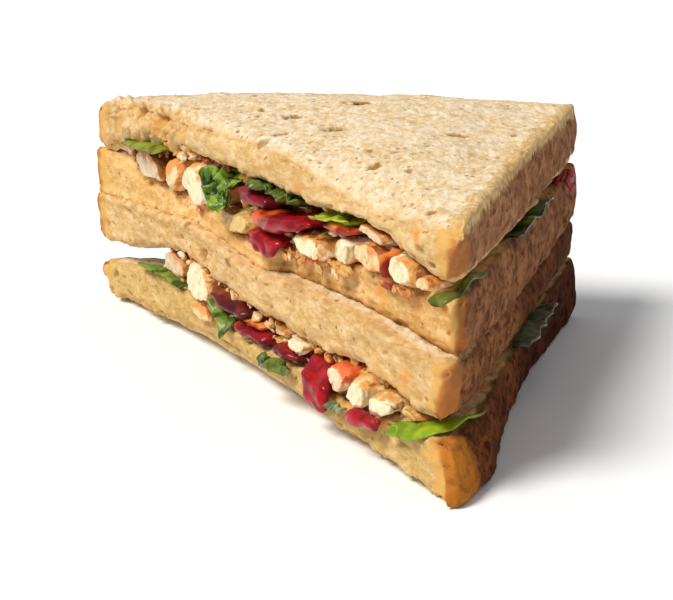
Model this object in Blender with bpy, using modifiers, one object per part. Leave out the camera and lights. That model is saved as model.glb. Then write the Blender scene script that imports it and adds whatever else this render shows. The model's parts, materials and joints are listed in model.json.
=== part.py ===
"""Chicken tikka sandwich: the two triangular halves of one sandwich, stacked.

Sizes are in millimetres and become metres as each piece is finished.
X runs along the cut face from the far tip to the near tip, Y runs inwards from the
cut to the loaf's corner, and Z is up. Heights start at the underside of the bottom slice.
"""

import math

import bmesh
import bpy
from mathutils import Vector, noise

MM = 0.001

# The two loaf halves seen from above: a square slice cut from corner to corner.
HALF_CUT = 83.8            # from the middle of the cut to the loaf's corner, before rounding
TIP = 81.5                 # where the rounded tips end
LOAF_CORNER = 6.0          # radius of the loaf's corners
PLAN_SHIFT = Vector((-0.03, -38.97))   # brings the middle of the whole to X = 0, Y = 0

# Bread mesh.
COLUMNS = 34               # grid columns along the cut
ROWS = 12                  # grid rows from the cut to the loaf's corner
ROW_SPREAD = 1.25          # rows lie closer together near the cut
LAYERS = 3                 # steps up the side of a slice
SLIVER = 1.0               # rim points nearer than this are merged
MARGIN = 6.0               # how far the uncut grid stands past the slice
SIDE_NORMAL = 0.25         # points whose normals lie flatter than this are on a side
CORNER_STEP = math.radians(22.5)

# Crust and crumb relief.
BARREL = 0.7               # how far a crust bulges at mid height
CRUST_WRINKLE = 0.45
CUT_ROUGH = 0.8
FACE_ROUGH = 0.3
RELIEF_SCALE = 8.0

# How the slices close over the filling.
HEAP_REACH = 26.0          # from the crust to the full height of the filling
SLICE_GAP = 0.45           # air between two slices that touch
FILLING_GAP = 0.6          # air between a slice and what it presses on

# The underside of the bottom slice: its front edge has sprung up and its far tip is worn.
SPRUNG_HEIGHT = 4.0
SPRUNG_MIDDLE = -8.0
SPRUNG_WIDTH = 62.0
SPRUNG_DEPTH = 13.0
SPRUNG_END = 80.0          # where the edge is down again at the near tip
SPRUNG_EASE = 12.0         # and over how long it comes down
WORN_FROM = -75.5
WORN_SLOPE = 0.6

# Filling cores.
CORE_INSET_CUT = 9.8
CORE_INSET_CRUST = 3.6
CORE_CORNER = 9.0
CORE_COLUMNS = 20
CORE_ROWS = 8
CORE_LUMPS = 0.9
CORE_LUMP_SCALE = 6.0

# Pieces of the filling.
ROUND_BLOCK = 1.18         # radius of the ball that a unit block is rounded towards
SPINE_STEP = 0.02          # how far apart a path is read to find its direction
LEAF_THICK = 0.6
LEAF_STEPS_LONG = 8
LEAF_STEPS_DEEP = 3
LEAF_TUCK = 2.6            # how soon a leaf that hangs out levels off inside the filling


# ---------------------------------------------------------------- plan and heights

def corner_weights(x, y):
    """How near a point is to the far tip, the near tip and the loaf's corner."""
    at_corner = min(max(y / TIP, 0.0), 1.0)
    at_near = min(max((x / TIP + 1.0 - at_corner) / 2.0, 0.0), 1.0)
    at_far = min(max(1.0 - at_corner - at_near, 0.0), 1.0)
    return at_far, at_near, at_corner


def heap(x, y):
    """0 at the crust and 1 where the filling lies at its full height."""
    to_near_crust = (HALF_CUT - x - y) / math.sqrt(2.0)
    to_far_crust = (HALF_CUT + x - y) / math.sqrt(2.0)
    share = min(max(min(to_near_crust, to_far_crust) / HEAP_REACH, 0.0), 1.0)
    return share * share * (3.0 - 2.0 * share)


def swell(x, y, middle, half_width, height, depth=12.0):
    """A local rise, or a dip, of a slice along its cut edge."""
    across = math.exp(-((x - middle) / half_width) ** 2)
    return height * across * math.exp(-(max(y, 0.0) / depth) ** 2)


class Surface:
    """A height over the plan: three corner heights, a dome and local swells."""

    def __init__(self, far, near, corner, dome, far_side=0.0, near_side=0.0, swells=()):
        self.corners = (far, near, corner)
        self.dome = dome
        self.far_side = far_side
        self.near_side = near_side
        self.swells = swells

    def __call__(self, x, y):
        weights = corner_weights(x, y)
        height = sum(w * z for w, z in zip(weights, self.corners))
        height += self.dome * heap(x, y)
        height += self.far_side * 4.0 * weights[0] * weights[2]
        height += self.near_side * 4.0 * weights[1] * weights[2]
        for local in self.swells:
            height += swell(x, y, *local)
        return height


crown = Surface(48.4, 49.1, 48.8, 2.6, 2.0, 0.6, [(49.0, 22.0, -4.4, 9.0)])
lid_under = Surface(38.5, 38.7, 38.3, 5.7, -0.2, -0.9, [(28.0, 12.0, -0.9)])
upper_base = Surface(37.2, 36.3, 36.9, -3.0, -0.4, -0.5,
                     [(-7.0, 8.0, -4.2), (13.0, 9.0, -2.4), (48.0, 8.0, 1.0)])
seam = Surface(25.9, 24.8, 24.0, 1.8, -0.5, -1.6, [(-30.0, 12.0, 1.4), (3.0, 9.0, -2.4)])
lower_lid = Surface(13.9, 14.8, 15.6, 2.5, 0.0, -0.7,
                    [(-33.0, 20.0, 4.4), (30.0, 12.0, -1.0), (70.0, 8.0, -1.2)])
lower_base = Surface(8.2, 11.6, 14.3, -0.6, -0.8, -1.2,
                     [(-45.0, 28.0, 4.8), (36.0, 20.0, -0.8)])


def underside(x, y):
    """Flat, but for the crumbly front edge, sprung up in its middle, and the worn far tip."""
    fade = max(0.0, 1.0 - max(y, 0.0) / SPRUNG_DEPTH) ** 2
    fade *= min(max((SPRUNG_END - x) / SPRUNG_EASE, 0.0), 1.0)
    sprung = fade * SPRUNG_HEIGHT * math.exp(-((x - SPRUNG_MIDDLE) / SPRUNG_WIDTH) ** 2)
    worn = max(0.0, WORN_FROM - x) * WORN_SLOPE
    return sprung + worn


# ---------------------------------------------------------------- materials and objects

def food_material(name, colour, roughness):
    material = bpy.data.materials.new(name)
    material.use_nodes = True
    shader = material.node_tree.nodes["Principled BSDF"]
    shader.inputs["Base Color"].default_value = (*colour, 1.0)
    shader.inputs["Roughness"].default_value = roughness
    shader.inputs["Metallic"].default_value = 0.0
    material.diffuse_color = (*colour, 1.0)
    return material


def finish_piece(bm, name, colour, roughness):
    """Scale a piece to metres, move it into place and make it an object."""
    bmesh.ops.recalc_face_normals(bm, faces=bm.faces[:])
    for vert in bm.verts:
        vert.co.x = (vert.co.x + PLAN_SHIFT.x) * MM
        vert.co.y = (vert.co.y + PLAN_SHIFT.y) * MM
        vert.co.z *= MM
    mesh = bpy.data.meshes.new(name)
    bm.to_mesh(mesh)
    bm.free()
    mesh.shade_smooth()
    mesh.set_sharp_from_angle(angle=math.radians(50.0))
    piece = bpy.data.objects.new(name, mesh)
    mesh.materials.append(food_material(name, colour, roughness))
    sandwich.objects.link(piece)
    return piece


def rough(place, scale, seed):
    return noise.noise(Vector((place.x / scale + seed * 7.3, place.y / scale - seed * 3.1,
                               place.z / scale + seed * 1.7)))


# ---------------------------------------------------------------- bread

def plan_sides(far_tip, near_tip, corner, radius):
    """Straight sides and rounded corners, each as a point and an outward normal."""
    far_tip, near_tip, corner = Vector(far_tip), Vector(near_tip), Vector(corner)
    along = (near_tip - far_tip).normalized()
    sides = [(near_tip, Vector((along.y, -along.x)))]
    far_middle = far_tip + along * radius
    near_middle = near_tip - along * radius
    corner_middle = corner - Vector((0.0, radius))
    for middle, first, steps in ((near_middle, 0.0, 3), (corner_middle, 2 * CORNER_STEP, 5),
                                 (far_middle, 6 * CORNER_STEP, 3)):
        for step in range(steps):
            angle = first + step * CORNER_STEP
            normal = Vector((math.cos(angle), math.sin(angle)))
            sides.append((middle + normal * radius, normal))
    return sides


def plan_sheet(sides, columns, rows, spread):
    """A flat grid cut to the plan of a slice."""
    bm = bmesh.new()
    bmesh.ops.create_grid(bm, x_segments=columns, y_segments=rows, size=1.0)
    for vert in bm.verts:
        share = (vert.co.y + 1.0) / 2.0
        vert.co.x *= HALF_CUT + MARGIN
        vert.co.y = -MARGIN + (HALF_CUT + 2.0 * MARGIN) * share ** spread
    for point, normal in sides:
        bmesh.ops.bisect_plane(bm, geom=bm.verts[:] + bm.edges[:] + bm.faces[:], dist=1e-5,
                               plane_co=(point.x, point.y, 0.0),
                               plane_no=(normal.x, normal.y, 0.0), clear_outer=True)
    rim = [vert for vert in bm.verts if vert.is_boundary]
    bmesh.ops.remove_doubles(bm, verts=rim, dist=SLIVER)
    bmesh.ops.triangulate(bm, faces=bm.faces[:])
    return bm


def stack_layers(bm, layers):
    """Pull a flat sheet up into a closed slab; its Z then counts the layers."""
    top = bm.verts[:] + bm.edges[:] + bm.faces[:]
    for _ in range(layers):
        top = bmesh.ops.extrude_face_region(bm, geom=top)["geom"]
        verts = [item for item in top if isinstance(item, bmesh.types.BMVert)]
        bmesh.ops.translate(bm, verts=verts, vec=(0.0, 0.0, 1.0))
    bmesh.ops.recalc_face_normals(bm, faces=bm.faces[:])


def shape_slab(bm, layers, under, over, push):
    """Give every point of a slab its height, and push its rim in or out."""
    bm.normal_update()
    moves = {}
    for vert in bm.verts:
        share = vert.co.z / layers
        outwards = Vector((vert.normal.x, vert.normal.y, 0.0))
        height = under(vert.co.x, vert.co.y) * (1.0 - share) + over(vert.co.x, vert.co.y) * share
        place = Vector((vert.co.x, vert.co.y, height))
        if outwards.length > SIDE_NORMAL:
            place += push(place, share, outwards.normalized())
        moves[vert] = place
    for vert, place in moves.items():
        vert.co = place


def bread_push(cut_face_angle, lean_near, round_near, seed, crust_swells=()):
    """How the side of a slice leaves the straight plan."""
    def push(place, share, outwards):
        on_cut = outwards.dot(cut_face_angle) > 0.8
        if on_cut:
            move = outwards * CUT_ROUGH * rough(place, RELIEF_SCALE, seed)
        else:
            wrinkle = CRUST_WRINKLE * rough(place, RELIEF_SCALE * 0.7, seed)
            move = outwards * (BARREL * 4.0 * share * (1.0 - share) + wrinkle)
        at_tip = corner_weights(place.x, place.y)[1] ** 6
        move.x += (lean_near * (share - 0.5) - round_near * (1.0 - share) ** 4) * at_tip
        if outwards.x > 0.3:
            along = (place.y - place.x + TIP) / math.sqrt(2.0)
            for middle, half_width, bulge, low_share in crust_swells:
                fade = 1.0 - low_share * share
                move += outwards * bulge * fade * math.exp(-((along - middle) / half_width) ** 2)
        return move
    return push


def bread_slice(name, far_tip, near_tip, corner, under, over, seed, lean_near=0.0,
                round_near=0.0, crust_swells=(), rough_under=FACE_ROUGH):
    sides = plan_sides(far_tip, near_tip, corner, LOAF_CORNER)
    bm = plan_sheet(sides, COLUMNS, ROWS, ROW_SPREAD)
    stack_layers(bm, LAYERS)

    def rough_over(x, y):
        return over(x, y) + FACE_ROUGH * rough(Vector((x, y, 0.0)), RELIEF_SCALE, seed + 1)

    def rough_beneath(x, y):
        return under(x, y) + rough_under * rough(Vector((x, y, 0.0)), RELIEF_SCALE, seed + 2)

    push = bread_push(sides[0][1].to_3d(), lean_near, round_near, seed, crust_swells)
    shape_slab(bm, LAYERS, rough_beneath, rough_over, push)
    return finish_piece(bm, name, CRUMB_COLOUR, 0.9)


def filling_core(name, under, over, colour, seed):
    """The chopped filling that runs through the sandwich behind the pieces at its sides."""
    crust = CORE_INSET_CRUST * math.sqrt(2.0)
    reach = HALF_CUT - crust - CORE_INSET_CUT - CORE_CORNER * 0.6
    far_tip = (-reach, CORE_INSET_CUT)
    near_tip = (reach, CORE_INSET_CUT)
    corner = (0.0, HALF_CUT - crust - CORE_CORNER * 0.414)
    bm = plan_sheet(plan_sides(far_tip, near_tip, corner, CORE_CORNER),
                    CORE_COLUMNS, CORE_ROWS, 1.0)
    stack_layers(bm, 2)

    def lumpy_rim(place, share, outwards):
        return outwards * CORE_LUMPS * (rough(place, CORE_LUMP_SCALE, seed) - 0.5)

    shape_slab(bm, 2, lambda x, y: under(x, y) + FILLING_GAP,
               lambda x, y: over(x, y) - FILLING_GAP, lumpy_rim)
    return finish_piece(bm, name, colour, 0.5)


# ---------------------------------------------------------------- pieces of the filling

def bend(start, middle, end, share):
    """A point on a smooth curve drawn by three points."""
    start, middle, end = Vector(start), Vector(middle), Vector(end)
    return (start * (1.0 - share) ** 2 + middle * 2.0 * share * (1.0 - share)
            + end * share ** 2)


def in_gap(level, x, y, share):
    """Height at a share of the gap that a filling fills: 0 on its base, 1 under its lid."""
    base, lid = FILLINGS[level]
    inside = max(y, 0.0)
    low = base(x, inside) + FILLING_GAP
    high = lid(x, inside) - FILLING_GAP
    return low + (high - low) * share


def gap_height(level, x, y):
    return in_gap(level, x, y, 1.0) - in_gap(level, x, y, 0.0)


def side_place(side, along, depth):
    """Plan position from a distance along one side and a depth in from it."""
    origin, forwards, inwards = SIDES[side]
    return origin + forwards * along + inwards * depth


def morsel(name, level, side, ends, path, height, tilt=0.0, blunt=0.5, lumps=0.5,
           colour=(0.8, 0.6, 0.4), roughness=0.45, cuts=2, seed=0, drift=0.0):
    """A chopped piece: a rounded block, bent along its path from deep inside to the front.

    ends are where it starts and stops along the side, path holds three points of depth and
    share of the gap, height is its thickness as a share of the gap, and tilt is how much
    higher its second end lies. Its thickness is set off squarely from the path. drift is how
    far along the side its front has slipped from its root.
    """
    bm = bmesh.new()
    bmesh.ops.create_cube(bm, size=2.0)
    bmesh.ops.subdivide_edges(bm, edges=bm.edges[:], cuts=cuts, use_grid_fill=True)
    middle = (ends[0] + ends[1]) / 2.0
    half = (ends[1] - ends[0]) / 2.0
    slant = lumps * 0.3 * math.sin(seed * 2.4)

    def spine(along, lift, step):
        """Depth and height of the middle of the piece, step of the way to its front."""
        spot = bend(*path, step)
        plan = side_place(side, along, spot.x)
        return Vector((spot.x, in_gap(level, plan.x, plan.y, spot.y + lift)))

    for vert in bm.verts:
        cube = vert.co.copy()
        unit = cube.lerp(cube.normalized() * ROUND_BLOCK, blunt)
        unit *= 1.0 + 0.3 * lumps * rough(cube, 0.9, seed)
        along = middle + half * (unit.x * (1.0 - abs(slant)) + slant * unit.z)
        lift = tilt * 0.5 * unit.x
        step = min(max((1.0 - unit.y) / 2.0, 0.0), 1.0)
        along += drift * step
        here = spine(along, lift, step)
        forwards = spine(along, lift, step + SPINE_STEP) - spine(along, lift, step - SPINE_STEP)
        upwards = Vector((forwards.y, -forwards.x)).normalized()
        root = side_place(side, along, here.x)
        thick = height * gap_height(level, root.x, root.y)
        here += upwards * 0.5 * thick * unit.z
        plan = side_place(side, along, here.x)
        vert.co = Vector((plan.x, plan.y, here.y))
    return finish_piece(bm, name, colour, roughness)


def leaf(name, level, side, outer, inner, wave=0.08, ripples=3.0, colour=(0.1, 0.3, 0.03)):
    """A thin wavy leaf between an outer edge that shows and an inner edge in the filling.

    Each edge is a curve through three points: distance along the side, depth, and share
    of the gap.
    """
    bm = bmesh.new()
    bmesh.ops.create_grid(bm, x_segments=LEAF_STEPS_LONG, y_segments=LEAF_STEPS_DEEP, size=1.0)
    for vert in bm.verts:
        long_share = (vert.co.x + 1.0) / 2.0
        deep_share = (vert.co.y + 1.0) / 2.0
        edge = bend(*outer, long_share)
        root = bend(*inner, long_share)
        spot = edge.lerp(root, deep_share)
        spot.z = edge.lerp(root, min(deep_share * LEAF_TUCK, 1.0)).z
        ripple = wave * math.sin(long_share * ripples * math.tau + deep_share * 2.0)
        plan = side_place(side, spot.x, spot.y)
        height = in_gap(level, plan.x, plan.y, spot.z + ripple * (1.0 - 0.6 * deep_share))
        vert.co = Vector((plan.x, plan.y, height))
    bmesh.ops.triangulate(bm, faces=bm.faces[:])
    piece = finish_piece(bm, name, colour, 0.35)
    thickness = piece.modifiers.new("Leaf thickness", "SOLIDIFY")
    thickness.thickness = LEAF_THICK * MM
    thickness.offset = 0.0
    thickness.use_even_offset = False
    return piece


# ---------------------------------------------------------------- the sandwich

for old in list(bpy.data.objects):
    bpy.data.objects.remove(old, do_unlink=True)
sandwich = bpy.data.collections.new("chicken_tikka_sandwich")
bpy.context.scene.collection.children.link(sandwich)

CRUMB_COLOUR = (0.74, 0.55, 0.33)
CHICKEN = (0.86, 0.68, 0.46)
GLAZED = (0.78, 0.38, 0.13)
GOLDEN = (0.66, 0.42, 0.13)
PEPPER = (0.42, 0.02, 0.03)
PEPPER_ORANGE = (0.62, 0.10, 0.02)
SKIN = (0.16, 0.02, 0.02)
LEAF_BRIGHT = (0.16, 0.36, 0.03)
LEAF_DARK = (0.03, 0.14, 0.02)
LEAF_PALE = (0.30, 0.42, 0.16)
SAUCED = (0.60, 0.33, 0.15)

DIAGONAL = 1.0 / math.sqrt(2.0)
SIDES = {
    "cut": (Vector((0.0, 0.0)), Vector((1.0, 0.0)), Vector((0.0, 1.0))),
    "near_crust": (Vector((HALF_CUT, 0.0)), Vector((-DIAGONAL, DIAGONAL)),
                   Vector((-DIAGONAL, -DIAGONAL))),
    "far_crust": (Vector((0.0, HALF_CUT)), Vector((-DIAGONAL, -DIAGONAL)),
                  Vector((DIAGONAL, -DIAGONAL))),
}
FILLINGS = {"upper": (upper_base, lid_under), "lower": (lower_base, lower_lid)}


def above(surface):
    return lambda x, y: surface(x, y) + SLICE_GAP / 2.0


def below(surface):
    return lambda x, y: surface(x, y) - SLICE_GAP / 2.0


bread_slice("bread_top", (-78.3, 0.0), (81.3, 0.0), (0.5, 82.5), lid_under, crown,
            seed=1, lean_near=2.3)
bread_slice("bread_upper_base", (-83.2, 0.5), (79.8, 3.2), (0.0, 80.6), above(seam),
            upper_base, seed=5, lean_near=2.4)
bread_slice("bread_lower_lid", (-83.4, 0.0), (81.0, -2.0), (0.0, 80.0), lower_lid,
            below(seam), seed=9, lean_near=3.8)
bread_slice("bread_base", (-83.4, 0.0), (82.0, -2.4), (0.0, 82.4), underside, lower_base,
            seed=13, lean_near=-5.0, round_near=2.4, rough_under=0.0,
            crust_swells=[(13.0, 18.0, 3.0, 0.8), (75.0, 32.0, -1.8, 0.4)])

filling_core("filling_upper", upper_base, lid_under, SAUCED, seed=21)
filling_core("filling_lower", lower_base, lower_lid, SAUCED, seed=23)

# Chopped pieces that show at the cut: name, filling, ends, path, height, tilt, look.
STRAIGHT_DEEP = 8.6        # how deep a plain piece reaches
DROOP_STARTS = 2.0         # a drooping piece bends this far in front of its middle
DROOP_RISE = 0.06          # and rises by this share of the gap before it hangs down


def plain_path(front, share, deep=STRAIGHT_DEEP):
    """A straight run from deep inside to the front, at one share of the gap."""
    return ((deep, share), ((deep + front) / 2.0, share), (front, share))


def drooping_path(front, share, drop):
    """A straight run whose front hangs down to a lower share, over the edge of its base."""
    middle = (STRAIGHT_DEEP + front) / 2.0 - DROOP_STARTS
    return ((STRAIGHT_DEEP, share), (middle, share + DROOP_RISE), (front, drop))


CHUNKS = [
    ("chicken_upper_1", "upper", (-61.0, -42.0), plain_path(-0.9, 0.40), 0.60, 0.04, CHICKEN),
    ("chicken_upper_2", "upper", (-41.2, -31.8), plain_path(-0.9, 0.44), 0.80, 0.0, GLAZED),
    ("chicken_upper_3", "upper", (-31.2, -19.0), plain_path(-1.4, 0.40), 0.80, 0.06, CHICKEN),
    ("chicken_upper_4", "upper", (-18.4, -9.4), plain_path(0.8, 0.56), 0.36, 0.0, GOLDEN),
    ("chicken_upper_5", "upper", (-14.0, 1.0), plain_path(-0.8, 0.17), 0.32, -0.02, GOLDEN),
    ("chicken_upper_6", "upper", (22.6, 36.2), drooping_path(-1.2, 0.17, 0.10), 0.34, 0.0, CHICKEN),
    ("chicken_upper_7", "upper", (37.2, 45.4), plain_path(-0.6, 0.29), 0.50, 0.0, CHICKEN),
    ("chicken_upper_8", "upper", (46.2, 57.0), plain_path(-0.8, 0.33), 0.60, 0.0, CHICKEN),
    ("chicken_upper_9", "upper", (60.6, 69.0), drooping_path(-1.4, 0.48, 0.42), 0.84, 0.0, CHICKEN),
    ("chicken_upper_10", "upper", (69.8, 75.4), plain_path(-0.8, 0.50, 5.0), 0.72, 0.0, CHICKEN),
    ("strip_upper", "upper", (45.6, 57.0), plain_path(0.3, 0.86), 0.14, 0.0, SAUCED),
    ("chicken_lower_1", "lower", (-48.0, -33.4), plain_path(-0.8, 0.58), 0.66, 0.0, CHICKEN),
    ("chicken_lower_2", "lower", (-32.2, -18.2), plain_path(-1.6, 0.48), 0.86, 0.0, CHICKEN),
    ("chicken_lower_3", "lower", (10.6, 17.6), plain_path(-1.2, 0.74), 0.42, 0.0, GOLDEN),
    ("chicken_lower_4", "lower", (18.6, 27.2), plain_path(-2.2, 0.74), 0.46, 0.0, CHICKEN),
    ("chicken_lower_5", "lower", (40.0, 47.0), drooping_path(-3.8, 0.62, 0.36), 0.62, 0.0, GLAZED),
    ("chicken_lower_6", "lower", (47.8, 55.6), drooping_path(-4.2, 0.60, 0.16), 0.68, 0.0, CHICKEN),
    ("chicken_lower_7", "lower", (56.4, 65.0), drooping_path(-4.4, 0.60, 0.20), 0.68, 0.0, CHICKEN),
    ("chicken_lower_8", "lower", (66.0, 73.2), plain_path(-2.8, 0.62, 5.0), 0.62, 0.0, GOLDEN),
]
for index, (name, level, ends, path, height, tilt, colour) in enumerate(CHUNKS):
    morsel(name, level, "cut", ends, path, height, tilt, lumps=0.9, colour=colour,
           seed=31 + index)

# Red pepper: glossy pieces, some of which hang out over the bread's edge.
PEPPERS = [
    ("pepper_upper_1", "upper", (-4.2, 12.2), plain_path(-1.2, 0.72), 0.30, -0.04, PEPPER),
    ("pepper_upper_2", "upper", (4.0, 29.0), ((7.0, 0.48), (2.0, 0.49), (-2.4, 0.46)),
     0.30, 0.26, PEPPER),
    ("pepper_upper_3", "upper", (2.8, 17.0), ((6.0, 0.12), (-1.8, 0.28), (-1.4, -0.18)),
     0.13, 0.0, PEPPER),
    ("pepper_upper_4", "upper", (33.0, 45.4), plain_path(-0.6, 0.72), 0.22, 0.0,
     PEPPER_ORANGE),
    ("pepper_upper_5", "upper", (57.9, 60.1), plain_path(-1.6, 0.44), 0.66, 0.0,
     PEPPER_ORANGE),
    ("pepper_skin_lower", "lower", (-16.8, 1.6), ((7.0, 0.78), (0.0, 0.84), (-2.6, 0.66)),
     0.30, -0.06, SKIN),
    ("pepper_cap_lower", "lower", (-4.4, 7.6), plain_path(-1.8, 0.52), 0.14, 0.0,
     PEPPER_ORANGE),
    ("pepper_lower_1", "lower", (-5.4, 10.4), plain_path(-2.6, 0.22), 0.40, 0.0, PEPPER),
    ("pepper_lower_2", "lower", (12.6, 25.4), plain_path(-2.4, 0.24), 0.38, 0.0, PEPPER),
    ("pepper_lower_3", "lower", (26.6, 37.2), ((6.0, 0.40), (-5.6, 0.95), (-4.0, -0.80)),
     0.34, -0.10, PEPPER),
    ("pepper_lower_4", "lower", (50.0, 62.4), ((-3.2, -0.16), (-4.8, -0.26), (-4.4, -0.72)),
     0.20, 0.0, PEPPER),
]
DRIFTS = {"pepper_lower_3": 6.0}        # the one strip whose front has slipped sideways
for index, (name, level, ends, path, height, tilt, colour) in enumerate(PEPPERS):
    morsel(name, level, "cut", ends, path, height, tilt, blunt=0.75, lumps=0.3,
           colour=colour, roughness=0.15, seed=61 + index, drift=DRIFTS.get(name, 0.0))

# Small bits stuck to the faces of the bread.
morsel("pepper_ring_upper", "upper", "cut", (53.4, 58.8),
       ((2.1, -0.17), (1.7, -0.17), (0.9, -0.17)), 0.32, blunt=0.9, lumps=0.2,
       colour=PEPPER_ORANGE, roughness=0.25, cuts=1, seed=81)
morsel("chicken_bit_lower", "lower", "cut", (-24.6, -14.6),
       ((-1.3, -0.12), (-1.8, -0.12), (-2.6, -0.12)), 0.40, blunt=0.8, lumps=0.5,
       colour=GLAZED, roughness=0.3, cuts=1, seed=82)

# Red pepper at the crust, near the loaf's corner.
morsel("pepper_crust_upper", "upper", "near_crust", (92.0, 103.0),
       ((5.0, 0.45), (-2.6, 0.75), (-2.4, -2.6)), 0.8, blunt=0.7, lumps=0.3,
       colour=PEPPER, roughness=0.2, seed=83)

# Salad leaves: outer edge, then inner edge.
leaf("leaf_upper_1", "upper", "cut",
     ((-63.0, -2.4, 1.30), (-52.0, -3.4, 0.90), (-39.0, -2.0, 1.05)),
     ((-61.0, 6.0, 0.90), (-51.0, 7.5, 0.92), (-40.0, 7.0, 0.92)),
     wave=0.03, colour=LEAF_BRIGHT)
leaf("leaf_upper_2", "upper", "cut",
     ((-19.4, -2.2, 0.80), (-11.0, -3.4, 0.16), (-5.2, -2.6, 0.40)),
     ((-18.4, 7.0, 0.90), (-11.0, 8.0, 0.92), (-5.6, 7.0, 0.92)),
     wave=0.07, ripples=2.6, colour=LEAF_DARK)
leaf("leaf_upper_3", "upper", "cut",
     ((2.0, -0.8, 1.00), (14.0, -1.6, 0.86), (25.0, -0.6, 1.02)),
     ((3.0, 7.0, 0.97), (13.0, 8.0, 0.96), (24.0, 7.0, 0.97)),
     wave=0.02, colour=LEAF_DARK)
leaf("leaf_upper_4", "upper", "cut",
     ((29.6, -1.2, 0.90), (36.0, -2.4, 0.80), (45.0, -0.6, 0.97)),
     ((30.0, 6.0, 0.90), (37.0, 7.0, 0.90), (44.0, 6.5, 0.92)),
     wave=0.03, colour=LEAF_BRIGHT)
leaf("leaf_tip_upper", "upper", "cut",
     ((75.8, -1.4, 0.40), (86.0, -4.5, -0.40), (72.0, 14.0, 0.05)),
     ((77.6, 1.4, 0.50), (77.0, 5.6, 0.50), (70.6, 10.0, 0.50)),
     wave=0.03, colour=LEAF_DARK)
leaf("leaf_lower_1", "lower", "cut",
     ((-58.0, -1.6, 0.50), (-46.0, -2.2, -0.02), (-33.0, -1.8, 0.06)),
     ((-55.0, 6.0, 0.10), (-45.0, 7.5, 0.08), (-34.0, 7.0, 0.04)),
     wave=0.02, colour=LEAF_BRIGHT)
leaf("leaf_lower_2", "lower", "cut",
     ((-16.6, -2.6, 0.40), (-10.0, -3.8, 0.06), (-6.8, -4.0, -0.40)),
     ((-16.0, 7.0, 0.34), (-10.0, 8.0, 0.30), (-6.6, 5.0, 0.24)),
     wave=0.03, colour=LEAF_DARK)
leaf("leaf_lower_3", "lower", "cut",
     ((12.0, -4.4, -0.16), (18.0, -5.0, -0.42), (26.0, -4.4, -0.20)),
     ((13.0, -3.0, 0.04), (18.0, -3.0, 0.06), (25.0, -3.0, 0.04)),
     wave=0.02, colour=LEAF_BRIGHT)
leaf("leaf_lower_4", "lower", "cut",
     ((41.6, -4.8, -0.36), (45.0, -5.0, -0.42), (49.4, -4.8, -0.34)),
     ((42.0, -3.4, -0.26), (45.0, -3.4, -0.26), (49.0, -3.4, -0.26)),
     wave=0.02, colour=LEAF_PALE)
leaf("leaf_tip_lower", "lower", "cut",
     ((64.0, -4.8, -0.50), (86.0, -7.0, -0.30), (73.0, 12.0, 0.60)),
     ((67.0, -2.4, 0.14), (76.0, 1.6, 0.14), (72.0, 8.0, 0.14)),
     wave=0.04, colour=LEAF_BRIGHT)
leaf("leaf_crust_upper", "upper", "near_crust",
     ((44.0, -1.4, 0.20), (62.0, -2.4, -1.00), (80.0, -1.2, 0.10)),
     ((46.0, 2.4, 0.50), (62.0, 2.6, 0.50), (78.0, 2.4, 0.50)),
     wave=0.10, colour=LEAF_DARK)
leaf("leaf_crust_lower", "lower", "near_crust",
     ((52.0, -1.6, 0.20), (66.0, -3.0, 1.10), (82.0, -1.2, 0.30)),
     ((53.0, 2.4, 0.50), (66.0, 2.6, 0.50), (81.0, 2.4, 0.50)),
     wave=0.12, colour=LEAF_PALE)

# The crust side that faces away shows the same filling between its slices.
leaf("leaf_back_upper", "upper", "far_crust",
     ((28.0, -1.4, 0.30), (44.0, -2.6, -0.80), (60.0, -1.2, 0.20)),
     ((30.0, 2.4, 0.50), (44.0, 2.6, 0.50), (58.0, 2.4, 0.50)),
     wave=0.10, colour=LEAF_DARK)
leaf("leaf_back_lower", "lower", "far_crust",
     ((50.0, -1.6, 0.20), (64.0, -2.8, -0.60), (78.0, -1.2, 0.30)),
     ((51.0, 2.4, 0.50), (64.0, 2.6, 0.50), (77.0, 2.4, 0.50)),
     wave=0.12, colour=LEAF_BRIGHT)
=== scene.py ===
import json
import math
import random

import bpy
import numpy as np
from mathutils import Euler, Matrix, Vector, noise
from mathutils.bvhtree import BVHTree

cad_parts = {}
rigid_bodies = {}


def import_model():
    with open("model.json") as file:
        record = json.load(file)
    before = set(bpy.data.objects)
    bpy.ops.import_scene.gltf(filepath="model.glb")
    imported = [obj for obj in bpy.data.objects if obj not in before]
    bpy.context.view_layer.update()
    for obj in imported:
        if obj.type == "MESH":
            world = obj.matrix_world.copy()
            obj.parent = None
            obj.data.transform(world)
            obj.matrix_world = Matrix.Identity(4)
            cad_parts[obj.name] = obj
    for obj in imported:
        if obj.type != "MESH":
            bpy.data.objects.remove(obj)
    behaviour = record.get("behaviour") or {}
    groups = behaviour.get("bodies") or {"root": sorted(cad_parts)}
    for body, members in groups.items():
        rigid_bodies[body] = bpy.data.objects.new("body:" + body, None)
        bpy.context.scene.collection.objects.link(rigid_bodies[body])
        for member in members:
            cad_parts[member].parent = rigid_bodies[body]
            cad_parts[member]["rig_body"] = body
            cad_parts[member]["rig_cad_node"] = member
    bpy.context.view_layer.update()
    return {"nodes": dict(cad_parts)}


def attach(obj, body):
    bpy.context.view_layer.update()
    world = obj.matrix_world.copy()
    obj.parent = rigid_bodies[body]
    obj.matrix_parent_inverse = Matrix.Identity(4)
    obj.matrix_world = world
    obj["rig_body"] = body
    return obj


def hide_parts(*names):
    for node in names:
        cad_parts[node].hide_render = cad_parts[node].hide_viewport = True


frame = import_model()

MM = 0.001

# ============================== the studio
# A pale floor, one broad soft light from the left and above, and a weak even light from all
# round. The camera stands where the photo was taken: low, by the near tip of the stack.

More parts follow.
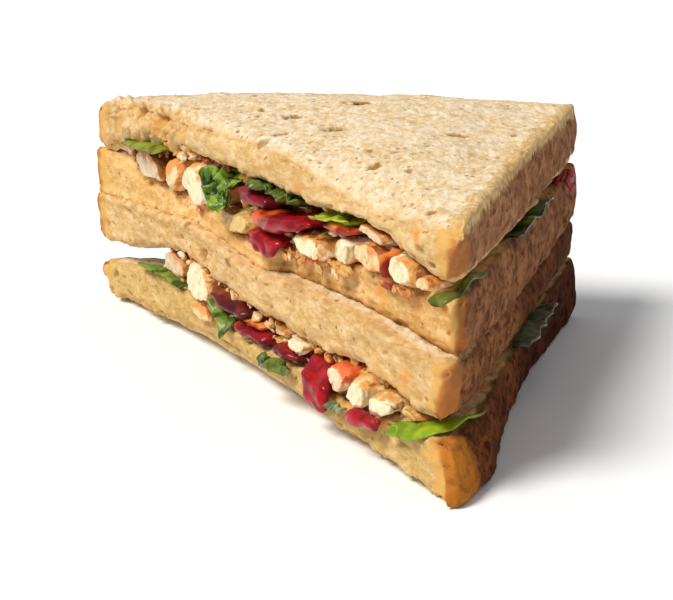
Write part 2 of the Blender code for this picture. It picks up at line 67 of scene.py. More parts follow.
camera_target = Vector((3.87, -20.36, 15.7)) * MM
camera_distance = 400.7 * MM
camera_azimuth = math.radians(62.4)
camera_elevation = math.radians(15.9)
camera_roll = math.radians(-2.19)
sensor_width_mm = 36.0
picture_width_px = 673
focal_length_px = 1897

bpy.ops.object.select_all(action="DESELECT")
bpy.ops.object.camera_add()
camera = bpy.context.object
camera.name = "photo_camera"
camera.matrix_world = (Matrix.Translation(camera_target) @ Matrix.Rotation(camera_azimuth, 4, "Z")
                       @ Matrix.Rotation(math.radians(90.0) - camera_elevation, 4, "X")
                       @ Matrix.Rotation(camera_roll, 4, "Z")
                       @ Matrix.Translation((0.0, 0.0, camera_distance)))
camera.data.sensor_width = sensor_width_mm
camera.data.lens = focal_length_px / picture_width_px * sensor_width_mm
camera.data.clip_start = 0.01
camera.data.clip_end = 20.0
bpy.context.scene.camera = camera

key_from = Vector((0.06, -0.58, 0.81))
bpy.ops.object.light_add(type="SUN")
key_light = bpy.context.object
key_light.name = "key_light"
key_light.rotation_euler = key_from.to_track_quat("Z", "Y").to_euler()
key_light.data.energy = 3.1
key_light.data.angle = math.radians(24.0)
key_light.data.color = (1.0, 0.985, 0.96)

world = bpy.data.worlds.new("even_light")
world.use_nodes = True
world.node_tree.nodes["Background"].inputs["Color"].default_value = (0.96, 0.98, 1.0, 1.0)
world.node_tree.nodes["Background"].inputs["Strength"].default_value = 0.36
bpy.context.scene.world = world
bpy.context.scene.view_settings.view_transform = "Standard"
bpy.context.scene.view_settings.look = "None"


def new_finish(name, roughness, specular, coat=None, flesh=None):
    """A Principled material, its node tree and its shader.

    coat is a wet film's weight and roughness. flesh is how much light goes into the food, and how
    many millimetres deep its red, green and blue get.
    """
    finish = bpy.data.materials.new(name)
    finish.use_nodes = True
    shader = finish.node_tree.nodes["Principled BSDF"]
    settings = {"Roughness": roughness, "Specular IOR Level": specular}
    if coat:
        settings["Coat Weight"], settings["Coat Roughness"] = coat
    if flesh:
        settings["Subsurface Weight"], settings["Subsurface Radius"] = flesh
        settings["Subsurface Scale"] = 1.0 * MM
    for setting, value in settings.items():
        shader.inputs[setting].default_value = value
    return finish, finish.node_tree, shader


bpy.ops.mesh.primitive_plane_add(size=8.0, location=(0.0, 0.0, -0.05 * MM))
floor = bpy.context.object
floor.name = "floor"
floor_paint, tree, shader = new_finish("floor_paint", 0.9, 0.5)
shader.inputs["Base Color"].default_value = (0.95, 0.95, 0.95, 1.0)
floor.data.materials.append(floor_paint)

# ============================== the bread
# Four half slices of a square malted loaf, each about 11 mm thick and cut from corner to corner.
# The sliced faces show open crumb with pores, the knife cut is smoother and drags the crumb along,
# and the two short sides keep the loaf's soft brown crust, finely wrinkled.
# In the reliefs below a place, in mm, is divided by the size of what is raised or sunk there, and
# shifted so that no two of them run alike.

noise.seed_set(1)          # the noise vectors come out the same in every run


def pick(piece):
    """Make one object the only one that is selected."""
    bpy.ops.object.select_all(action="DESELECT")
    piece.select_set(True)
    bpy.context.view_layer.objects.active = piece


def own_copy(node, name):
    """A copy of a solid with its own mesh, whose loose triangles are merged."""
    pick(frame["nodes"][node])
    bpy.ops.object.duplicate()
    piece = bpy.context.object
    piece.name = name
    piece.data.name = name
    piece.parent = None
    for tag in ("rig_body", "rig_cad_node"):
        del piece[tag]
    bpy.ops.object.mode_set(mode="EDIT")
    bpy.ops.mesh.select_all(action="SELECT")
    bpy.ops.mesh.remove_doubles(threshold=0.01 * MM)
    bpy.ops.object.mode_set(mode="OBJECT")
    piece.data.materials.clear()
    return piece


def finish_with(piece, kind, **settings):
    """Give a piece one modifier and apply it."""
    modifier = piece.modifiers.new(kind.title(), kind)
    for setting, value in settings.items():
        setattr(modifier, setting, value)
    pick(piece)
    bpy.ops.object.modifier_apply(modifier=modifier.name)


def fine_mesh(piece, pitch, smoothings):
    """An even, closed mesh of a pitch in millimetres, smoothed."""
    finish_with(piece, "REMESH", mode="VOXEL", voxel_size=pitch * MM)
    if smoothings:
        finish_with(piece, "SMOOTH", factor=0.5, iterations=smoothings)


def read_points(piece):
    """The mesh's points in millimetres, and their normals."""
    found = []
    for what in ("co", "normal"):
        values = np.empty(len(piece.data.vertices) * 3)
        piece.data.vertices.foreach_get(what, values)
        found.append(values.reshape(-1, 3))
    return found[0] / MM, found[1]


def write_back(piece, points, masks):
    """The moved points, and at each point the values from 0 to 1 that the finish reads by name."""
    piece.data.vertices.foreach_set("co", (points * MM).ravel())
    piece.data.update()
    for name, values in masks.items():
        attribute = piece.data.attributes.new(name, "FLOAT", "POINT")
        attribute.data.foreach_set("value", np.asarray(values, dtype=np.float32))


def hand_over(piece, slot, finish, *nodes):
    """Smooth shading, the finish, the body it rides on and the solids it stands for."""
    piece.data.materials.append(finish)
    piece.data.shade_smooth()
    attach(piece, "root")
    if nodes:
        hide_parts(*nodes)


def smooth_step(low, high, value):
    share = min(max((value - low) / (high - low), 0.0), 1.0)
    return share * share * (3.0 - 2.0 * share)


def clamped(value):
    return min(max(value, 0.0), 1.0)


def pit(place, cell, share, reach):
    """0 to 1: how deep a point lies in the nearest pit. Only a share of the cells hold one."""
    distances, centres = noise.voronoi(place / cell)
    chance = 0.5 + 0.5 * noise.cell(centres[0])
    if chance > share:
        return 0.0
    radius = reach * (0.55 + 0.45 * chance / share)
    return smooth_step(0.0, 1.0, 1.0 - distances[0] / radius)


def drawn_out(place, reach, angle):
    """Where to read a relief at this place so that it comes out longer in one direction."""
    along = (place.x * math.cos(angle) + place.y * math.sin(angle)) / reach
    across = place.y * math.cos(angle) - place.x * math.sin(angle)
    return Vector((along, across, place.z))


def crumb_relief(place):
    """Height of the crumb in mm, with lumps and pores of many sizes, and how deep in a pore it lies."""
    spot = place + noise.noise_vector(place / 3.1) * 0.9
    rolling = noise.fractal(place / 6.5, 0.9, 2.0, 2)
    lumps = noise.fractal(spot / 1.9 + Vector((7.0, 0.0, 0.0)), 0.8, 2.0, 3)
    open_crumb = smooth_step(-0.4, 0.4, noise.noise(place / 9.0))
    large = pit(spot, 5.8, 0.34, 0.25)
    middle = pit(spot + Vector((31.0, 0.0, 0.0)), 3.8, 0.22 + 0.26 * open_crumb, 0.38)
    small = pit(spot + Vector((0.0, 17.0, 0.0)), 1.8, 0.25 + 0.30 * open_crumb, 0.46)
    depth = 0.85 * large + 0.50 * middle + 0.24 * small
    return 0.36 * rolling + 0.20 * lumps - depth, min(0.8, large + 0.9 * middle + 0.7 * small)


def mixed_relief(place, pressed):
    """The crumb's relief between its open faces and where the knife has drawn it along."""
    height, pore = 0.0, 0.0
    for share, reach, angle in ((1.0 - pressed, crumb_draw, crumb_angle), (pressed, knife_draw, 0.0)):
        if share > 0.0:
            part_height, part_pore = crumb_relief(drawn_out(place, reach, angle))
            height += share * part_height
            pore += share * part_pore
    return height, pore


def crust_relief(place):
    """Height of the crust in mm, with its fine wrinkles and slits, and how deep in one it lies."""
    bend = noise.noise(place / 6.0)
    around = Vector((place.x + bend, place.y + bend, place.z * 1.1))
    wrinkle = noise.fractal(around / 2.7, 0.8, 2.0, 2)
    slit = pit(around + Vector((place.z * 0.15, 0.0, 0.0)), 2.6, 0.30, 0.32)
    speck = pit(Vector((place.x, place.y, place.z * 1.2)), 1.9, 0.16, 0.40)
    rolling = noise.fractal(place / 5.0, 0.9, 2.0, 2)
    deep = min(1.0, slit + 0.7 * speck + 0.2 * max(0.0, -wrinkle))
    return 0.42 * rolling + 0.18 * wrinkle - 0.60 * slit - 0.30 * speck, deep


def round_edge(one, two, radius, eased=0.0):
    """How far a point near two faces moves in, where they meet in a round edge.

    eased lets the edge start gently where the two faces meet at a blunt angle.
    """
    from_one = radius - one[3]
    from_two = radius - two[3]
    if from_one <= 0.0 or from_two <= 0.0:
        return Vector()
    from_middle = one[1] * from_one + two[1] * from_two
    outside = max(0.0, from_middle.length - radius)
    if eased:
        outside *= smooth_step(0.0, eased, min(from_one, from_two) / radius)
    return from_middle * (-outside / from_middle.length)


knife_draw = 2.3           # how much longer than high the crumb is drawn at the cut
crumb_draw = 1.8           # how much the loaf's rise has drawn the crumb out across a slice
crumb_angle = math.radians(-27.6)      # and in which direction
crust_thick = 3.6          # how deep the loaf's crust reaches into the crumb
crust_round = 1.2          # radius of the crust's edges
far_round = 1.3            # radius of the edge between the cut and the crust at the far tip
tip_ease = 0.8             # how gently the tips' edges start, because their faces meet bluntly
near_tip = Vector((81.5, -39.0, 0.0))
far_tip = Vector((-81.5, -39.0, 0.0))
pressed_out = 0.34         # how far two slices that touch press into each other
far_reach = 1.8            # how much further the far tips have pushed out
far_sag = 1.8              # how far the top slice's underside hangs down at its far tip
corner_in = 0.9            # how far the top slice's corner, where the crusts meet, is pulled in
top_lift = 0.9             # how far its upper face has sprung up
tip_wear = 0.6             # how much is worn off below the bottom slice's far tip, per mm
# Places along the cut, in mm to the right of its middle.
torn_from, torn_full = -24.0, -30.0    # the top slice's cut edge is torn from here to the far tip
whole_tip, torn_to = -79.0, -70.0      # which is whole again
seam_closed, seam_open = -30.0, 34.0   # the middle slices' seam opens along this stretch
valley_start, valley_full, valley_fading, valley_end = 2.0, 14.0, 72.0, 80.0
lifted_from, lifted_to = -76.0, -64.0  # the bottom slice's lower edge is sharper left of here
# For each slice: the radii of its upper and lower cut edges and of its near tip, how ragged its cut
# edges are, how far from the cut the knife has smoothed it, how far gold spreads from its tips, which on
# the rounded crust is painted light, how golden its rims are, how far and how strongly the seam's groove
# is darkened with painted shade and drag marks, and the spots, with their radius, where sauce has soaked in.
slice_looks = {
    "bread_top": (4.2, 1.8, 1.8, 0.8, 2.6, 7.5, 0.55, 0.0, 0.0,
                  [(-46.0, 46.5, 3.2), (24.0, 46.0, 2.6), (68.9, 45.8, 2.6)]),
    "bread_upper_base": (1.8, 1.6, 1.8, 0.7, 4.5, 6.0, 0.10, 4.0, 0.80,
                         [(34.0, 33.5, 4.0), (52.0, 31.0, 3.5), (20.0, 34.0, 3.0), (65.3, 31.4, 2.6),
                          (63.0, 34.0, 3.0), (42.0, 35.0, 4.0), (-30.0, 36.0, 3.0)]),
    "bread_lower_lid": (2.2, 1.8, 1.8, 0.7, 4.5, 7.0, 0.10, 1.4, 0.40,
                        [(68.2, 20.1, 3.0), (42.0, 15.6, 2.8), (28.0, 15.0, 2.2)]),
    "bread_base": (1.8, 2.4, 5.0, 0.9, 4.5, 8.5, 0.10, 0.0, 0.0,
                   [(48.0, 9.5, 3.4), (60.0, 9.0, 2.6), (-22.0, 8.5, 3.2), (28.0, 6.5, 2.6)]),
}
# Single holes that stand out: the place, how wide and deep, and how dark the painted shade inside is.
single_holes = {
    "bread_top": [
        ((7.2, -21.0, 51.4), 3.4, 2.6, 0.62), ((-12.0, -3.5, 51.4), 2.8, 2.0, 1.0),
        ((-10.6, -22.0, 51.4), 2.3, 1.6, 0.8), ((4.0, -31.7, 51.0), 1.8, 1.2, 0.6),
        ((4.9, -37.1, 50.6), 2.0, 1.2, 0.5), ((-14.1, -11.6, 51.4), 1.5, 1.0, 0.6),
        ((38.2, -29.4, 51.0), 1.6, 1.2, 0.8), ((26.1, -3.0, 51.4), 2.0, 1.3, 0.8),
        ((54.7, -31.0, 50.8), 1.4, 0.9, 0.7), ((-53.5, -39.5, 49.3), 1.7, 1.2, 0.8)],
    "bread_upper_base": [((-66.0, -39.5, 30.0), 1.3, 0.4, 0.6)],
    "bread_lower_lid": [((76.6, -39.5, 16.4), 1.3, 1.4, 1.0), ((-20.5, -39.5, 23.0), 1.5, 0.5, 0.6)],
}


def seam_valley_shade(place, from_seam, reach):
    """0 to 1: how dark the painted shade and drag marks are in the groove along the seam of the middle
    slices.
    """
    along = smooth_step(valley_start, valley_full, place.x)
    along *= 1.0 - smooth_step(valley_fading, valley_end, place.x)
    across = 1.0 - smooth_step(0.2, reach, from_seam + 0.9 * noise.noise(place / 2.5))
    wave = place.z + 0.8 * noise.noise(place / 4.0) - 0.06 * place.x
    line = noise.noise(Vector((place.x / 7.0, 3.0, wave / 0.9)))
    return along * across * (0.45 + 0.55 * smooth_step(-0.1, 0.3, line))


def face_trees(piece):
    """A slice's cut, crust, upper and lower faces, for finding how far a point is from each."""
    corners = [vert.co / MM for vert in piece.data.vertices]
    faces = {"cut": [], "crust": [], "over": [], "under": []}
    for face in piece.data.polygons:
        if abs(face.normal.z) > 0.55:
            faces["over" if face.normal.z > 0.0 else "under"].append(tuple(face.vertices))
        elif face.normal.y < -0.8:
            faces["cut"].append(tuple(face.vertices))
        else:
            faces["crust"].append(tuple(face.vertices))
    return [BVHTree.FromPolygons(corners, found) for found in faces.values()]


def torn_crumb(place, from_cut):
    """How torn the top slice is here, from 0 to 1, and how high its torn crumb folds."""
    torn = smooth_step(torn_from, torn_full, place.x) * (1.0 - smooth_step(2.0, 8.0, from_cut))
    torn *= smooth_step(whole_tip, torn_to, place.x)
    return torn, noise.fractal(place / 3.7 + Vector((9.0, 0.0, 0.0)), 0.8, 2.0, 3)


def single_hole(place, where, wide, deep, dark):
    """How deep one uneven hole is here, and how dark the painted shade inside it is. A wide one in the top
    reaches further down.
    """
    away = place - Vector(where)
    away.z *= 0.45 if wide > 1.6 and where[2] > 50.0 else 1.0
    edge = 1.0 + 0.55 * noise.noise(place / 2.3) + 0.35 * noise.noise(place / 0.9)
    reach = away.length / (wide * edge)
    return deep * smooth_step(1.0, 0.55, reach), dark * smooth_step(1.0, 0.80, reach)


def settle(node, points):
    """Where a slice has been pushed out, pulled in, worn or has sagged."""
    x, y, z = points.T
    if node == "bread_base":
        z -= tip_wear * np.clip(-74.0 - x, 0.0, 8.0) * np.clip(1.0 - z / 9.0, 0.0, 1.0)
    pushed = np.clip((-x - 58.0) / 22.0, 0.0, 1.0)
    x -= far_reach * pushed * pushed * (3.0 - 2.0 * pushed)
    if node == "bread_top":
        y -= corner_in * np.clip((y - 25.0) / 18.0, 0.0, 1.0)
        sag = (z < 45.0) * np.clip((-x - 42.0) / 20.0, 0.0, 1.0)
        z -= far_sag * sag * sag * (3.0 - 2.0 * sag)
        z += top_lift * np.clip((z - 43.0) / 6.0, 0.0, 1.0)
    np.maximum(z, 0.0, out=z)


def dress_slice(node, pitch):
    """A half slice: the solid at a fine pitch, with crumb, crust and worn edges carved into it."""
    (over_round, under_round, tip_round, ragged, knife_reach, gold_reach, rim_gold,
     valley_reach, valley_shade_strength, sauce) = slice_looks[node]
    piece = own_copy(node, node.replace("bread", "slice"))
    trees = face_trees(piece)
    fine_mesh(piece, pitch, 4)
    points, normals = read_points(piece)
    masks = {"crust": [], "pore": [], "knife": [], "stain": [], "gold": []}
    for index, (point, normal) in enumerate(zip(points, normals)):
        place = Vector(point)
        cut, crust, over, under = (tree.find_nearest(place) for tree in trees)
        on_crust = 1.0 - smooth_step(0.3, 1.2, crust[3])
        on_knife = 1.0 - smooth_step(0.3, knife_reach, cut[3])
        to_tip = min(math.hypot(place.x - tip.x, place.y - tip.y) for tip in (near_tip, far_tip))

        # The relief of the crumb and of the crust.
        crumb_height, crumb_pore = mixed_relief(place, on_knife)
        crust_height, crust_slit = crust_relief(place)
        crust_slit *= 0.2 + 0.8 * smooth_step(4.0, 9.0, to_tip)
        # painted shade: pores and crust slits darken by how deep a point lies in them
        pore = crumb_pore * (1.0 - on_crust) + crust_slit * on_crust
        height = crumb_height * (1.0 - on_crust) + crust_height * on_crust
        at_edge = 1.0 - smooth_step(0.2, 2.2, max(cut[3], min(over[3], under[3])))
        tear = noise.fractal(place / 3.2 + Vector((0.0, 0.0, 5.0)), 0.8, 2.0, 3)
        height -= ragged * at_edge * (tear + 0.1)
        torn_gold = 0.0
        if node == "bread_top":
            torn, folds = torn_crumb(place, cut[3])
            height += torn * (2.1 * folds - 0.3)
            # painted shade in the hollows of the torn crumb
            pore = max(pore, 0.8 * torn * smooth_step(-0.05, -0.45, folds))
            torn_gold = 0.8 * torn * smooth_step(0.3, -0.15, folds)
        for hole in single_holes.get(node, []):
            # painted shade inside the hole
            depth, hole_shade = single_hole(place, *hole)
            height -= depth
            pore = max(pore, hole_shade)

        # The seam of the middle slices: pressed shut at the far end, a valley darkened with painted shade at
        # the near one.
        opening = 1.0
        at_seam = under if node == "bread_upper_base" else over if node == "bread_lower_lid" else None
        if at_seam:
            wander = 26.0 * noise.noise(Vector((place.x / 9.0, 2.0, 0.0)))
            opening = smooth_step(seam_closed, seam_open, place.x + wander)
            closed = (1.0 - smooth_step(0.4, 2.0, at_seam[3])) * (1.0 - on_crust)
            crumbled = 0.35 * tear + 0.50 * noise.noise(place / 1.3)
            height += closed * (pressed_out + 0.30 * (1.0 - opening) + crumbled - height)
            # painted shade and drag marks along the seam's groove
            valley = on_knife * seam_valley_shade(place, at_seam[3], valley_reach)
            pore = max(pore, valley_shade_strength * valley)
        over_open = opening if node == "bread_lower_lid" else 1.0
        under_open = opening if node == "bread_upper_base" else 1.0
        if node == "bread_base":
            under_open = 0.35 + 0.65 * smooth_step(lifted_from, lifted_to, place.x)

        # The rounded edges.
        tip = tip_round if place.x > 0.0 else far_round
        points[index] += normal * height + np.array(
            round_edge(cut, over, 0.1 + over_round * over_open)
            + round_edge(cut, under, 0.1 + under_round * under_open)
            + round_edge(crust, over, crust_round) + round_edge(crust, under, crust_round)
            + round_edge(cut, crust, tip, tip_ease))

        # Where the material turns to crust, gold (the crust's golden edge, and painted light on the rounded
        # crust at the tips), pore (painted shade), knife cut and sauce.
        thick = crust_thick * (1.0 + 0.8 * (1.0 - smooth_step(3.0, 9.0, to_tip)))
        depth = 1.0 - crust[3] / thick * (1.0 + 0.7 * noise.noise(place / 2.4))
        from_rim = min(over[3], under[3] + 0.7) + 1.1 * noise.noise(place / 1.5)
        depth = min(depth, 1.0 - rim_gold * (1.0 - smooth_step(0.5, 3.0, from_rim)))
        masks["crust"].append(clamped(depth))
        masks["pore"].append(min(pore, 1.0))
        masks["knife"].append(on_knife * (1.0 - on_crust))
        # gold near the tips: the crust's golden edge on the cut, and painted light on the rounded crust
        # beside it
        to_tip += 2.0 * noise.noise(Vector((place.x / 2.5, place.y / 2.5, place.z / 9.0)))
        masks["gold"].append(max(torn_gold, 1.0 - smooth_step(0.1 * gold_reach, gold_reach, to_tip)))
        touch = 0.0
        for x, z, radius in sauce:
            away = math.hypot(place.x - x, (place.z - z) * 1.3) / radius
            touch = max(touch, 1.0 - away + 0.5 * noise.noise(place / 1.6))
        masks["stain"].append(clamped(touch) * (1.0 - smooth_step(1.0, 3.5, cut[3])))
    settle(node, points)
    write_back(piece, points, masks)
    return piece


def wire(tree, source, target):
    """Link a socket into another, or set it if it is a plain value."""
    if isinstance(source, bpy.types.NodeSocket):
        tree.links.new(source, target)
    else:
        target.default_value = (*source, 1.0) if target.type == "RGBA" else source


def add_node(tree, kind, output, inputs, **settings):
    """A node with its settings and inputs. The output named is given back."""
    node = tree.nodes.new(kind)
    for setting, value in settings.items():
        setattr(node, setting, value)
    for name, value in inputs.items():
        wire(tree, value, node.inputs[name])
    return node.outputs[output]


def tint(tree, amount, under, over, way="MIX"):
    """One colour over another, by a mask."""
    return add_node(tree, "ShaderNodeMix", "Result", {"Factor": amount, "A": under, "B": over},
                    data_type="RGBA", blend_type=way)


def between(tree, value, low, high, to_low=0.0, to_high=1.0):
    """A value's share of the way from low to high, eased at both ends."""
    inputs = {"Value": value, "From Min": low, "From Max": high, "To Min": to_low, "To Max": to_high}
    return add_node(tree, "ShaderNodeMapRange", "Result", inputs, interpolation_type="SMOOTHSTEP")


def reckon(tree, way, first, second, third=0.0):
    return add_node(tree, "ShaderNodeMath", "Value", {0: first, 1: second, 2: third}, operation=way)


def layered(tree, colour, layers):
    """Colours over one another, each where its mask goes from low to high, and at most this much."""
    for mask, low, high, most, over in layers:
        colour = tint(tree, between(tree, mask, low, high, 0.0, most), colour, over)
    return colour


def mask_of(tree, name):
    return add_node(tree, "ShaderNodeAttribute", "Fac", {}, attribute_name=name)


def on_object(tree):
    return add_node(tree, "ShaderNodeTexCoord", "Object", {})


def mottle(tree, place, scale, detail=3.0, roughness=0.55):
    inputs = {"Vector": place, "Scale": scale, "Detail": detail, "Roughness": roughness}
    return add_node(tree, "ShaderNodeTexNoise", "Fac", inputs)


def surface(tree, shader, colour, height, distance, strength):
    """What a shader shows: its colour, and a relief too fine for the mesh."""
    wire(tree, colour, shader.inputs["Base Color"])
    bump = {"Height": height, "Distance": distance, "Strength": strength}
    wire(tree, add_node(tree, "ShaderNodeBump", "Normal", bump), shader.inputs["Normal"])


def new_group(name, *values):
    """A node group that takes a place and values, and what its first node gives."""
    group = bpy.data.node_groups.new(name, "ShaderNodeTree")
    group.interface.new_socket("Place", in_out="INPUT", socket_type="NodeSocketVector")
    for value in values:
        group.interface.new_socket(value, in_out="INPUT", socket_type="NodeSocketFloat")
    return group, group.nodes.new("NodeGroupInput").outputs


def give_out(group, values):
    """What a node group puts out, by name."""
    for name in values:
        group.interface.new_socket(name, in_out="OUTPUT", socket_type="NodeSocketFloat")
    result = group.nodes.new("NodeGroupOutput")
    for name, value in values.items():
        group.links.new(value, result.inputs[name])


def place_group(tree, group, **inputs):
    inputs["Place"] = on_object(tree)
    return add_node(tree, "ShaderNodeGroup", 0, inputs, node_tree=group).node.outputs


# Bread finer than its mesh: grain, soft patches, blots, bran flecks, crust streaks and their height.
crumb_grain, entry = new_group("crumb_grain", "Knife")


def drawn(**turn_and_scale):
    """The place in a direction that is drawn out."""
    return add_node(crumb_grain, "ShaderNodeMapping", "Vector", {"Vector": entry["Place"], **turn_and_scale})


by_knife = drawn(Scale=(1.0 / knife_draw, 1.0, 1.0))
by_rise = drawn(Scale=(crumb_draw, 1.0, 1.0), Rotation=(0.0, 0.0, crumb_angle))
by_rise.node.vector_type = "TEXTURE"


def drawn_mottle(*fineness):
    """A mottle that is drawn out along the cut where the knife has passed."""
    return add_node(crumb_grain, "ShaderNodeMix", "Result", {
        "Factor": entry["Knife"], "A": mottle(crumb_grain, by_rise, *fineness),
        "B": mottle(crumb_grain, by_knife, *fineness)})


fine = drawn_mottle(2900.0, 2.0, 0.7)
grain = drawn_mottle(1150.0, 4.0, 0.72)
soft = drawn_mottle(430.0, 3.0, 0.6)
cells = add_node(crumb_grain, "ShaderNodeTexVoronoi", "Distance", {"Vector": entry["Place"], "Scale": 900.0})
chance = add_node(crumb_grain, "ShaderNodeSeparateColor", "Red", {"Color": cells.node.outputs["Color"]})
speck = between(crumb_grain, reckon(crumb_grain, "MULTIPLY_ADD", grain, 0.5, cells), 0.78, 0.45)
relief = reckon(crumb_grain, "MULTIPLY_ADD", fine, 0.3, grain)
give_out(crumb_grain, {
    "Grain": grain, "Fine": fine, "Soft": soft, "Blot": drawn_mottle(620.0, 1.5, 0.5),
    "Cloud": mottle(crumb_grain, entry["Place"], 110.0),
    "Fleck": reckon(crumb_grain, "MULTIPLY", between(crumb_grain, chance, 0.93, 0.97), speck),
    "Streak": mottle(crumb_grain, drawn(Scale=(0.6, 0.6, 0.8)), 620.0, 4.0, 0.66),
    "Height": reckon(crumb_grain, "MULTIPLY_ADD", soft, 0.6, relief)})
# Between these places the crust is darkened with painted shade round the loaf's corner, where it lies in
# shadow.
corner_start, corner_full, corner_fading, corner_end = -30.0, 0.0, 34.0, 52.0     # along the cut, in mm


def bread_finish(name, crumb_tone, lit_crust_gold, crust_light, crust_dark, corner_shade_tone):
    """Pale crumb, yellower on the knife cut, and a crust from gold inside to brown outside."""
    finish, tree, shader = new_finish(name, 0.88, 0.06, flesh=(0.15, (1.0, 0.6, 0.3)))
    pore, crust, knife, gold = (mask_of(tree, mask) for mask in ("pore", "crust", "knife", "gold"))
    grain = place_group(tree, crumb_grain, Knife=knife)

    # The crumb: its open faces and its cut, lighter and darker where the grain says so.
    # the open faces are paler than the knife cut: partly the crumb's own colour, partly a painted highlight
    # on the top, which faces the light
    colour = tint(tree, knife, (0.80, 0.61, 0.37), (0.66, 0.42, 0.175))
    clouded = tint(tree, knife, (0.72, 0.48, 0.21), (0.58, 0.34, 0.11))
    lit = tint(tree, knife, (0.97, 0.90, 0.78), (0.84, 0.65, 0.40))
    shade = tint(tree, knife, (0.54, 0.34, 0.14), (0.45, 0.26, 0.08))
    strength = reckon(tree, "MULTIPLY_ADD", knife, -0.04, 0.42)
    crumb_layers = (
        (grain["Cloud"], 0.40, 0.66, 0.7, clouded), (grain["Blot"], 0.52, 0.66, 0.30, lit),
        (grain["Grain"], 0.51, 0.62, strength, lit), (grain["Fine"], 0.55, 0.72, 0.40, lit),
        (grain["Soft"], 0.52, 0.70, 0.35, lit), (grain["Blot"], 0.46, 0.34, 0.35, shade),
        (grain["Grain"], 0.48, 0.35, strength, shade), (grain["Soft"], 0.46, 0.30, 0.4, shade),
        # painted shade: pores darker the deeper a point lies in them, near black at the bottom of a hole
        (grain["Fine"], 0.42, 0.25, 0.35, (0.35, 0.20, 0.08)), (pore, 0.04, 0.7, 0.9, (0.36, 0.175, 0.04)),
        (pore, 0.84, 1.0, 1.0, (0.09, 0.03, 0.018)))
    colour = layered(tree, colour, crumb_layers)
    colour = tint(tree, reckon(tree, "MULTIPLY", grain["Fleck"], 0.7), colour, (0.20, 0.12, 0.06))
    colour = tint(tree, knife, colour, tint(tree, 1.0, colour, crumb_tone, "MULTIPLY"))
    colour = layered(tree, colour, [(gold, 0.20, 0.90, 0.75, (0.70, 0.40, 0.115))])

    # The crust: streaked, gold at the tips with painted light on their rounded crust, and darker round the
    # loaf's corner with painted shade.
    outside = tint(tree, between(tree, grain["Streak"], 0.36, 0.62), crust_dark, crust_light)
    outside = layered(tree, outside, [(grain["Blot"], 0.52, 0.66, 0.5, crust_light),
                                      (grain["Cloud"], 0.42, 0.60, 0.45, crust_dark)])
    # painted shade: the crust is darker round the loaf's corner, where it lies in shadow
    along = add_node(tree, "ShaderNodeSeparateXYZ", "X", {"Vector": on_object(tree)})
    corner_shade = reckon(tree, "MULTIPLY", between(tree, along, corner_end * MM, corner_fading * MM),
                         between(tree, along, corner_start * MM, corner_full * MM))
    outside = tint(tree, corner_shade, outside, tint(tree, 1.0, outside, corner_shade_tone, "MULTIPLY"))
    # painted light: gold on the crust near the tips, where light wraps round them
    gold_streak = tint(tree, between(tree, grain["Streak"], 0.34, 0.54, 0.35, 1.0), crust_light, lit_crust_gold)
    outside = layered(tree, outside, [(gold, 0.0, 0.75, 1.0, gold_streak),
                                      # painted shade in the crust's slits and specks
                                      (pore, 0.10, 0.7, 0.9, (0.045, 0.016, 0.007))])
    inside = tint(tree, between(tree, grain["Grain"], 0.35, 0.60), (0.44, 0.25, 0.07), (0.70, 0.44, 0.16))
    inside = tint(tree, knife, inside, (0.69, 0.385, 0.10))
    colour = layered(tree, colour, [(crust, 0.10, 0.50, 0.75, inside), (crust, 0.60, 0.95, 1.0, outside)])

    # Sauce that has soaked in.
    soaked = between(tree, grain["Soft"], 0.36, 0.6, 0.4, 1.0)
    colour = tint(tree, reckon(tree, "MULTIPLY", mask_of(tree, "stain"), soaked), colour, (0.76, 0.28, 0.055))
    surface(tree, shader, colour, grain["Height"], 0.34 * MM, 0.7)
    return finish


# For each slice: the tone its cut crumb is multiplied by, its crust's gold, which is partly painted
# light at the tips, its light and dark, and the tone by which the crust is darker round the loaf's
# corner: painted shade, where the crust lies in shadow.
bread_colours = {
    "bread_top": ((1.0, 1.0, 1.0), (0.42, 0.150, 0.038), (0.44, 0.210, 0.100), (0.18, 0.068, 0.027),
                  (0.90, 0.88, 0.88)),
    "bread_upper_base": ((1.11, 1.02, 0.85), (0.44, 0.140, 0.024), (0.38, 0.165, 0.070),
                         (0.12, 0.042, 0.016), (1.0, 1.0, 1.0)),
    "bread_lower_lid": ((1.04, 1.02, 1.02), (0.44, 0.160, 0.038), (0.36, 0.142, 0.052),
                        (0.105, 0.034, 0.012), (0.50, 0.40, 0.36)),
    # the bottom slice's crust is darker than the others': painted shade, where it lies under the slices above
    "bread_base": ((0.93, 0.93, 0.76), (0.50, 0.175, 0.024), (0.24, 0.073, 0.020),
                   (0.056, 0.014, 0.005), (0.50, 0.38, 0.34)),
}

for node, colours in bread_colours.items():
    pitch = 0.465 if node == "bread_top" else 0.52        # of its mesh, in mm
    half_slice = dress_slice(node, pitch)
    hand_over(half_slice, "bread", bread_finish(node.replace("bread", "crumb_and_crust"), *colours), node)

# ============================== the chopped filling
# Behind the pieces at its sides each filling is finely chopped chicken bound with spiced
# mayonnaise: a lumpy, moist mass pressed between its two slices.

# Moist food: broad blotches, fine fibres and their height.
wet_mottle, entry = new_group("wet_mottle")
blotch = mottle(wet_mottle, entry["Place"], 420.0)
fine = mottle(wet_mottle, entry["Place"], 1300.0, 4.0, 0.65)
give_out(wet_mottle, {"Blotch": blotch, "Fine": fine,
                      "Height": reckon(wet_mottle, "MULTIPLY_ADD", blotch, 0.6, fine)})

